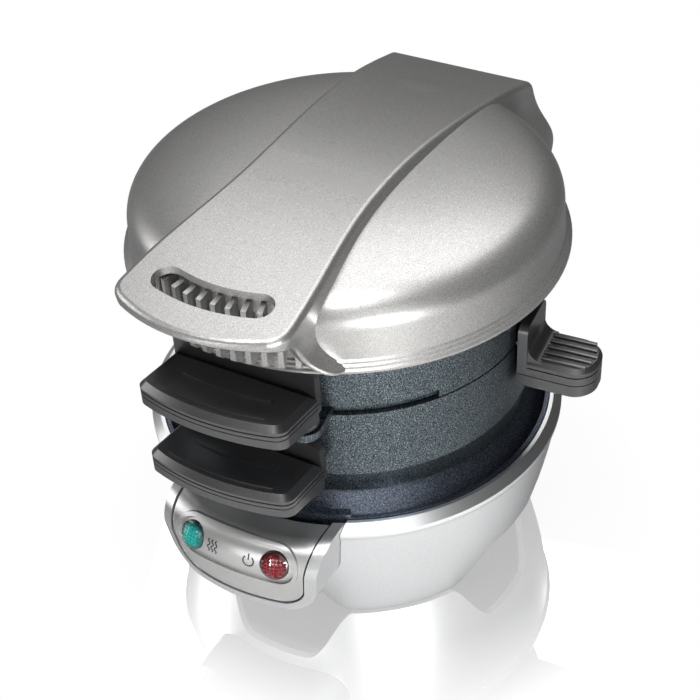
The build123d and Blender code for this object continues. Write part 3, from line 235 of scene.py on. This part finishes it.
def makeStage(look):
    bpy.ops.mesh.primitive_circle_add(
        vertices=look["floorSides"], radius=look["floorRadius"], fill_type="NGON")
    floor = bpy.context.active_object
    floor.name = "studioFloor"
    floor.data.transform(Matrix.Translation((0, 0, -look["floorDrop"])))
    floor.data.materials.append(floorMaterial(look))


def makeSky(look):
    # a faint sky on the object, and plain white for the camera and the floor's mirror
    world = bpy.data.worlds.new("studio")
    bpy.context.scene.world = world
    world.use_nodes = True
    tree = world.node_tree
    way = addNode(tree, "ShaderNodeTexCoord", {}, {})["Generated"]
    facing = addNode(tree, "ShaderNodeVectorMath", {"operation": "DOT_PRODUCT"}, {
        0: way, 1: aimed(look["skyTurn"], look["skyRise"]),
    })["Value"]
    low, high = look["skyFade"]
    level = addNode(tree, "ShaderNodeMapRange", {"interpolation_type": "SMOOTHSTEP"}, {
        0: facing, 1: low, 2: high, 3: look["skyDark"], 4: look["skyBright"],
    })[0]
    soft = addNode(tree, "ShaderNodeBackground", {}, {"Color": look["skyColour"], "Strength": level})[0]
    white = addNode(tree, "ShaderNodeBackground", {}, {"Color": look["white"], "Strength": 1.0})[0]
    path = addNode(tree, "ShaderNodeLightPath", {}, {})
    clear = path["Is Camera Ray"]
    for ray in ("Is Singular Ray", "Is Transmission Ray"):
        clear = addNode(tree, "ShaderNodeMath", {"operation": "MAXIMUM"}, {0: clear, 1: path[ray]})[0]
    blend = addNode(tree, "ShaderNodeMixShader", {}, {0: clear, 1: soft, 2: white})[0]
    tree.links.new(blend, tree.nodes["World Output"].inputs[0])


def makeLamps(look):
    aim = ringCentre + Vector((0, 0, look["lampAim"]))
    for name, (turn, rise, far, width, height, power) in look["lamps"].items():
        data = bpy.data.lights.new(name, "AREA")
        data.energy, data.shape, data.size, data.size_y = power, "RECTANGLE", width, height
        lamp = bpy.data.objects.new(name, data)
        lamp.location = aim + aimed(turn, rise, far)
        lamp.rotation_euler = (aim - lamp.location).to_track_quat("-Z", "Y").to_euler()
        bpy.context.collection.objects.link(lamp)


makeCamera(cameraView)
makeStage(studio)
makeSky(studio)
makeLamps(studio)
bpy.context.scene.view_settings.view_transform = "Standard"
say("camera, floor and lamps")


# silver paint with fine flakes, and the base's polished rim

silverPaint = {
    "lid": {
        "colour": (0.46, 0.455, 0.445), "dark": (0.24, 0.237, 0.231),
        "roughness": 0.37, "metallic": 0.80,
    },
    "base": {
        "colour": (0.75, 0.755, 0.76), "dark": (0.60, 0.605, 0.61),
        "roughness": 0.36, "metallic": 0.85,
    },
    "frame": {
        "colour": (0.58, 0.583, 0.588), "dark": (0.48, 0.483, 0.488),
        "roughness": 0.33, "metallic": 0.85,
    },
    "panel": {
        "colour": (0.50, 0.498, 0.493), "dark": (0.42, 0.418, 0.413),
        "roughness": 0.34, "metallic": 0.80,
    },
    "coat": 0.25,
    "coatRoughness": 0.18,
    "flakeScale": 3800.0,
    "flakeRange": (0.30, 0.72),
    "flakeBump": 0.07,
    "bumpDepth": 0.1 * mm,
    "cloudScale": 60.0,
    "cloudShare": 0.05,
    "roughnessSpread": 0.05,
    "rimPolish": (0.0440, 0.0452),  # height at which the paint gives way to the polished rim
    "rimColour": (0.93, 0.935, 0.94),
    "rimRoughness": 0.30,
}

midRange = (0.3, 0.7)  # where most of a noise's values lie


def silverMaterial(name, tone, rim=None):
    look = silverPaint
    shader = Shader(name, Coat=look["coat"], CoatRoughness=look["coatRoughness"])
    flake = shader.noise(look["flakeScale"], 1.0, 0.6)
    cloud = shader.noise(look["cloudScale"], 3.0)
    share = (shader.between(flake, *look["flakeRange"]) * (1.0 - look["cloudShare"])
             + shader.between(cloud, *midRange) * look["cloudShare"])
    colour = shader.mix(share, tone["dark"], tone["colour"])
    middle, spread = tone["roughness"], look["roughnessSpread"]
    rough = shader.between(flake, *midRange, middle + spread, middle - spread)
    metal = tone["metallic"]
    if rim:
        polish = shader.between(shader.height(), *rim)
        colour = shader.mix(polish, colour, look["rimColour"])
        rough = rough * (1.0 - polish) + polish * look["rimRoughness"]
        metal = polish * (1.0 - metal) + metal
    shader.set(Base=colour, Roughness=rough, Metallic=metal)
    shader.bump(flake, look["flakeBump"], look["bumpDepth"])
    return shader.material


# speckled non-stick coating

nonstick = {
    "ring": {
        "dark": (0.010, 0.013, 0.015), "colour": (0.100, 0.126, 0.143),
        "fleck": (0.44, 0.51, 0.55),
    },
    "tray": {
        "dark": (0.030, 0.036, 0.050), "colour": (0.105, 0.122, 0.160),
        "fleck": (0.30, 0.35, 0.42),
    },
    "metallic": 0.95,
    "coat": 0.15,
    "coatRoughness": 0.28,
    "roughness": (0.31, 0.39),
    "grainScale": 2300.0,
    "grainRange": (0.35, 0.65),
    "fleckScale": 4200.0,
    "fleckRange": (0.60, 0.70),
    "fleckRise": 0.5,
    "bump": 0.16,
    "bumpDepth": 0.1 * mm,
}


def nonstickMaterial(name, tone):
    look = nonstick
    shader = Shader(name, Metallic=look["metallic"],
                    Coat=look["coat"], CoatRoughness=look["coatRoughness"])
    grain = shader.noise(look["grainScale"], 2.0, 0.6)
    fleck = shader.noise(look["fleckScale"], 1.0)
    mask = shader.between(fleck, *look["fleckRange"])
    ground = shader.mix(shader.between(grain, *look["grainRange"]), tone["dark"], tone["colour"])
    shader.set(Base=shader.mix(mask, ground, tone["fleck"]))
    shader.set(Roughness=shader.between(grain, *midRange, *look["roughness"]))
    shader.bump(grain + mask * look["fleckRise"], look["bump"], look["bumpDepth"])
    return shader.material


# black handles

blackPlastic = {
    "colour": (0.010, 0.010, 0.011),
    "worn": (0.016, 0.016, 0.017),
    "roughness": (0.29, 0.39),
    "specular": 0.9,
    "coat": 0.45,
    "coatRoughness": 0.24,
    "grainScale": 1800.0,
    "wearScale": 45.0,
    "wearRange": (0.35, 0.65),
    "bump": 0.10,
    "bumpDepth": 0.08 * mm,
}


def plasticMaterial(name, look):
    shader = Shader(name, Specular=look["specular"],
                    Coat=look["coat"], CoatRoughness=look["coatRoughness"])
    grain = shader.noise(look["grainScale"])
    wear = shader.noise(look["wearScale"], 3.0, 0.6)
    shader.set(Base=shader.mix(shader.between(wear, *look["wearRange"]), look["colour"], look["worn"]))
    shader.set(Roughness=shader.between(grain, *midRange, *look["roughness"]))
    shader.bump(grain, look["bump"], look["bumpDepth"])
    return shader.material


# small and hidden pieces

plainFinishes = {
    "zincSteel": {
        "colour": (0.48, 0.48, 0.47), "dark": (0.34, 0.34, 0.34),
        "metallic": 1.0, "roughness": 0.32,
    },
    "dullSteel": {
        "colour": (0.24, 0.23, 0.22), "dark": (0.15, 0.14, 0.13),
        "metallic": 0.9, "roughness": 0.5,
    },
    "blackSteel": {
        "colour": (0.030, 0.030, 0.032), "dark": (0.018, 0.018, 0.02),
        "metallic": 0.3, "roughness": 0.42,
    },
    "feetRubber": {
        "colour": (0.022, 0.022, 0.022), "dark": (0.014, 0.014, 0.014),
        "metallic": 0.0, "roughness": 0.75,
    },
    "phenolic": {
        "colour": (0.13, 0.075, 0.04), "dark": (0.08, 0.045, 0.025),
        "metallic": 0.0, "roughness": 0.5,
    },
    "whiteCeramic": {
        "colour": (0.76, 0.74, 0.70), "dark": (0.66, 0.63, 0.58),
        "metallic": 0.0, "roughness": 0.45,
    },
    "glassSleeve": {
        "colour": (0.80, 0.79, 0.74), "dark": (0.60, 0.58, 0.52),
        "metallic": 0.0, "roughness": 0.8,
    },
}

plainGrain = {"scale": 900.0, "smoother": 0.06, "rougher": 0.08, "bump": 0.15, "bumpDepth": 0.1 * mm}


def plainMaterial(name):
    tone, look = plainFinishes[name], plainGrain
    shader = Shader(name, Metallic=tone["metallic"])
    grain = shader.noise(look["scale"], 3.0, 0.6)
    shader.set(Base=shader.mix(shader.between(grain, *midRange), tone["dark"], tone["colour"]))
    smooth, rough = tone["roughness"] - look["smoother"], tone["roughness"] + look["rougher"]
    shader.set(Roughness=shader.between(grain, *midRange, smooth, rough))
    shader.bump(grain, look["bump"], look["bumpDepth"])
    return shader.material


finishes = {
    "lidSilver": silverMaterial("lidSilver", silverPaint["lid"]),
    "baseSilver": silverMaterial("baseSilver", silverPaint["base"], silverPaint["rimPolish"]),
    "frameSilver": silverMaterial("frameSilver", silverPaint["frame"]),
    "panelSilver": silverMaterial("panelSilver", silverPaint["panel"]),
    "ringNonstick": nonstickMaterial("ringNonstick", nonstick["ring"]),
    "trayNonstick": nonstickMaterial("trayNonstick", nonstick["tray"]),
    "blackPlastic": plasticMaterial("blackPlastic", blackPlastic),
}
finishes.update({name: plainMaterial(name) for name in plainFinishes})

nodeFinishes = {
    "lidSilver": ["cover_shell", "handle_comb"],
    "baseSilver": ["base_housing"],
    "frameSilver": ["control_panel_frame"],
    "panelSilver": ["control_panel"],
    "ringNonstick": [
        "bottom_ring", "top_ring", "cooking_plate", "lower_heating_plate", "upper_heating_plate",
    ],
    "trayNonstick": ["base_tray", "cover_liner"],
    "blackPlastic": [
        "bottom_ring_handle_upper", "bottom_ring_handle_lower",
        "top_ring_handle_upper", "top_ring_handle_lower",
        "side_handle_upper", "side_handle_lower", "bottom_cover", "cord_bushing",
    ],
    "zincSteel": [
        "pivot_pin", "hinge_pin", "bottom_cover_screws", "hinge_bracket_screws",
        "bottom_ring_handle_screws", "top_ring_handle_screws", "side_handle_screws", "cover_screws",
    ],
    "dullSteel": ["lower_heating_element", "upper_heating_element"],
    "blackSteel": ["hinge_bracket"],
    "feetRubber": ["rubber_feet"],
    "phenolic": ["lower_thermostat", "upper_thermal_cutout"],
    "whiteCeramic": ["lower_thermal_fuse", "terminal_block", "lamp_holders"],
    "glassSleeve": ["base_wiring", "cover_wiring"],
}


def dress(node, material):
    nodes[node].data.materials.clear()
    nodes[node].data.materials.append(material)


for finish, names in nodeFinishes.items():
    for name in names:
        dress(name, finishes[finish])
say("finishes")


# the two lamps' lenses

lensLook = {
    # each lens's "edge" tone is painted shade: the colour it darkens to at its rim
    "preheat_lens": {
        "glow": (0.004, 0.26, 0.23), "deep": (0.001, 0.060, 0.060),
        "edge": (0.002, 0.02, 0.022), "side": -1,
    },
    "power_lens": {
        "glow": (0.15, 0.003, 0.007), "deep": (0.045, 0.001, 0.003),
        "edge": (0.02, 0.001, 0.002), "side": 1,
    },
    "radius": 4.3 * mm,
    "dome": 1.3 * mm,  # how far the middle stands out
    "pitch": 1.08 * mm,
    "pyramid": 0.30 * mm,
    "pyramidHalf": 0.66,  # a pyramid's half diagonal, in pitches
    "pyramidLift": 0.45,  # how far its middle stands over the dome, in its own heights
    "border": 0.55 * mm,
    "rimShadeFade": (0.62, 0.98),  # shares of the radius over which the colour darkens to the painted shade at the lens's rim
    "grainScale": 900.0,
    "grainRange": (0.30, 0.85),
    "grainShare": 0.6,
    "roughness": 0.24,
    "specular": 0.4,
    "coat": 0.45,
    "coatRoughness": 0.08,
    "glowStrength": 0.10,
}

lampFace = {
    "spread": 13.8 * mm,  # from the panel's middle to each lamp
    "centreY": -15.2 * mm,
    "radius": 61.45 * mm,
    "height": 42.3 * mm,
    "tilt": 20.0,
}


def faceTurn(x):
    # a place on the panel's face at lamp height: its point and the axes across, up and outwards
    radius = lampFace["radius"]
    depth = math.sqrt(radius**2 - x**2)
    out = Vector((x, -depth, radius * math.tan(math.radians(lampFace["tilt"])))).normalized()
    across = Vector((depth, x, 0)).normalized()
    up = out.cross(across)
    point = ringCentre + Vector((x, lampFace["centreY"] - depth, lampFace["height"]))
    return Matrix.Translation(point) @ Matrix((across, up, out)).transposed().to_4x4()


def lensMaterial(name, tone, look, middle):
    shader = Shader(name, Roughness=look["roughness"], Specular=look["specular"],
                    Coat=look["coat"], CoatRoughness=look["coatRoughness"])
    grain = shader.noise(look["grainScale"])
    # painted shade: the colour darkens towards the lens's rim to the edge tone
    start, end = look["rimShadeFade"]
    away = shader.vector("DISTANCE", shader.place, middle)
    rim = shader.between(away, look["radius"] * start, look["radius"] * end)
    cloudy = shader.between(grain, *look["grainRange"]) * look["grainShare"]
    colour = shader.mix(rim, shader.mix(cloudy, tone["glow"], tone["deep"]), tone["edge"])
    shader.set(Base=colour, Glow=colour, GlowStrength=look["glowStrength"])
    return shader.material


def waffleTree(material, look):
    # a square grid of low pyramids on the lens's dome
    tree = bpy.data.node_groups.new("lensWaffle", "GeometryNodeTree")
    wanted = {
        "Radius": look["radius"] - look["border"], "Pitch": look["pitch"], "Height": look["pyramid"],
        "Sphere": (look["radius"]**2 + look["dome"]**2) / (2 * look["dome"]), "Dome": look["dome"],
    }
    face = tree.interface
    face.new_socket("Geometry", in_out="INPUT", socket_type="NodeSocketGeometry")
    for key in wanted:
        face.new_socket(key, in_out="INPUT", socket_type="NodeSocketFloat")
    face.new_socket("Geometry", in_out="OUTPUT", socket_type="NodeSocketGeometry")

    def add(kind, inputs, output=0):
        return addNode(tree, kind, {}, inputs)[output]

    def sum2(operation, first, second=0.0):
        return addNode(tree, "ShaderNodeMath", {"operation": operation}, {0: first, 1: second})[0]

    enter = tree.nodes.new("NodeGroupInput").outputs
    across = 2 * math.ceil(look["radius"] / look["pitch"]) + 1
    span = sum2("MULTIPLY", enter["Pitch"], across - 1)
    grid = add("GeometryNodeMeshGrid", {
        "Size X": span, "Size Y": span, "Vertices X": across, "Vertices Y": across,
    }, "Mesh")
    cone = add("GeometryNodeMeshCone", {
        "Vertices": 4, "Radius Top": 0.0, "Depth": enter["Height"],
        "Radius Bottom": sum2("MULTIPLY", enter["Pitch"], look["pyramidHalf"]),
    }, "Mesh")
    turned = add("GeometryNodeTransform", {"Geometry": cone, "Rotation": (0, 0, math.pi / 4)})
    spot = add("GeometryNodeInputPosition", {})
    far = addNode(tree, "ShaderNodeVectorMath", {"operation": "LENGTH"}, {0: spot})["Value"]
    near = sum2("LESS_THAN", far, enter["Radius"])
    copies = add("GeometryNodeInstanceOnPoints", {"Points": grid, "Selection": near, "Instance": turned})
    whole = add("GeometryNodeRealizeInstances", {"Geometry": copies})
    axes = addNode(tree, "ShaderNodeSeparateXYZ", {}, {0: spot})
    squares = [sum2("MULTIPLY", axes[key], axes[key]) for key in "XY"]
    reach = sum2("SUBTRACT", sum2("MULTIPLY", enter["Sphere"], enter["Sphere"]), sum2("ADD", *squares))
    lift = sum2("ADD", sum2("SUBTRACT", sum2("SQRT", reach), enter["Sphere"]), enter["Dome"])
    domed = add("GeometryNodeSetPosition", {
        "Geometry": whole, "Offset": add("ShaderNodeCombineXYZ", {"Z": lift}),
    })
    painted = add("GeometryNodeSetMaterial", {"Geometry": domed, "Material": material})
    tree.links.new(painted, tree.nodes.new("NodeGroupOutput").inputs[0])
    return tree, wanted


def grown(name, tree, wanted):
    # the plain mesh that a node tree makes
    carrier = bpy.data.objects.new(name + "Seed", bpy.data.meshes.new(name + "Seed"))
    bpy.context.collection.objects.link(carrier)
    modifier = carrier.modifiers.new("nodes", "NODES")
    modifier.node_group = tree
    for item in tree.interface.items_tree:
        if item.item_type == "SOCKET" and item.in_out == "INPUT" and item.name in wanted:
            modifier[item.identifier] = wanted[item.name]
    graph = bpy.context.evaluated_depsgraph_get()
    mesh = bpy.data.meshes.new_from_object(carrier.evaluated_get(graph))
    bpy.data.objects.remove(carrier)
    mesh.name = name
    return placed(name, mesh)


def placed(name, mesh):
    made = bpy.data.objects.new(name, mesh)
    bpy.context.collection.objects.link(made)
    return made


for name in ("preheat_lens", "power_lens"):
    tone = lensLook[name]
    turn = faceTurn(tone["side"] * lampFace["spread"])
    glass = lensMaterial(name, tone, lensLook, tuple(turn.translation))
    dress(name, glass)
    waffle = grown(name.split("_")[0] + "Waffle", *waffleTree(glass, lensLook))
    rise = lensLook["pyramid"] * lensLook["pyramidLift"]
    waffle.data.transform(turn @ Matrix.Translation((0, 0, rise)))
    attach(waffle, "base")
say("lenses")


# plain signs between the lamps

signLook = {
    "colour": (0.012, 0.012, 0.014),
    "worn": (0.02, 0.02, 0.022),
    "grainScale": 800.0,
    "roughness": 0.45,
    "stroke": 0.42 * mm,
    "lift": 0.05 * mm,
    "height": 3.9 * mm,
    "heatX": -6.2 * mm,  # heat waves beside the one lamp
    "waveGap": 1.25 * mm,
    "waveSway": 0.38 * mm,
    "waveSteps": 24,
    "powerX": 6.0 * mm,  # an open ring and a bar beside the other
    "ringRadius": 0.42,  # in sign heights, as are the bar's ends
    "ringDrop": 0.25 * mm,
    "ringGap": 38.0,  # degrees from the top to each end of the ring
    "ringSteps": 36,
    "barEnds": (0.04, 0.52),
    "barSteps": 8,
}


def strokes(look):
    height, lines = look["height"], []
    for index in (-1, 0, 1):
        wave = []
        for step in range(look["waveSteps"] + 1):
            share = step / look["waveSteps"] - 0.5
            sway = look["waveSway"] * math.sin(share * 4 * math.pi)
            wave.append((index * look["waveGap"] + sway, share * height))
        lines.append((look["heatX"], wave))
    ring, radius = [], look["ringRadius"] * height
    for step in range(look["ringSteps"] + 1):
        turned = 90 + look["ringGap"] + step * (360 - 2 * look["ringGap"]) / look["ringSteps"]
        angle = math.radians(turned)
        ring.append((radius * math.cos(angle), radius * math.sin(angle) - look["ringDrop"]))
    lines.append((look["powerX"], ring))
    low, high = look["barEnds"]
    shares = [low + (high - low) * step / look["barSteps"] for step in range(look["barSteps"] + 1)]
    lines.append((look["powerX"], [(0.0, share * height) for share in shares]))
    return lines


def panelPlace():
    # finds the panel's own surface, so that the signs lie on it
    mesh = nodes["control_panel"].data
    tree = BVHTree.FromPolygons([v.co for v in mesh.vertices], [p.vertices for p in mesh.polygons])
    farOut = 8 * mm

    def place(turn, across, up, lift):
        out = (turn.to_3x3() @ Vector((0, 0, 1))).normalized()
        return tree.ray_cast(turn @ Vector((across, up, farOut)), -out)[0] + out * lift

    return place


def makeSigns(look):
    place, mesh = panelPlace(), bmesh.new()
    half, lift = look["stroke"] / 2, look["lift"]
    for x, line in strokes(look):
        turn, rows = faceTurn(x), []
        for index, (across, up) in enumerate(line):
            before, after = line[max(index - 1, 0)], line[min(index + 1, len(line) - 1)]
            along = Vector((after[0] - before[0], after[1] - before[1])).normalized()
            side = Vector((-along.y, along.x)) * half
            rows.append([
                mesh.verts.new(place(turn, across + edge * side.x, up + edge * side.y, level))
                for edge, level in ((1, -lift), (1, lift), (-1, lift), (-1, -lift))
            ])
        for one, two in zip(rows, rows[1:]):
            for k in range(4):
                mesh.faces.new((one[k], one[(k + 1) % 4], two[(k + 1) % 4], two[k]))
        mesh.faces.new(rows[0])
        mesh.faces.new(rows[-1][::-1])
    bmesh.ops.recalc_face_normals(mesh, faces=mesh.faces)
    data = bpy.data.meshes.new("panelSigns")
    mesh.to_mesh(data)
    mesh.free()
    ink = Shader("signInk", Roughness=look["roughness"])
    ink.set(Base=ink.mix(ink.noise(look["grainScale"]), look["colour"], look["worn"]))
    data.materials.append(ink.material)
    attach(placed("panelSigns", data), "base")


makeSigns(signLook)
say("signs")
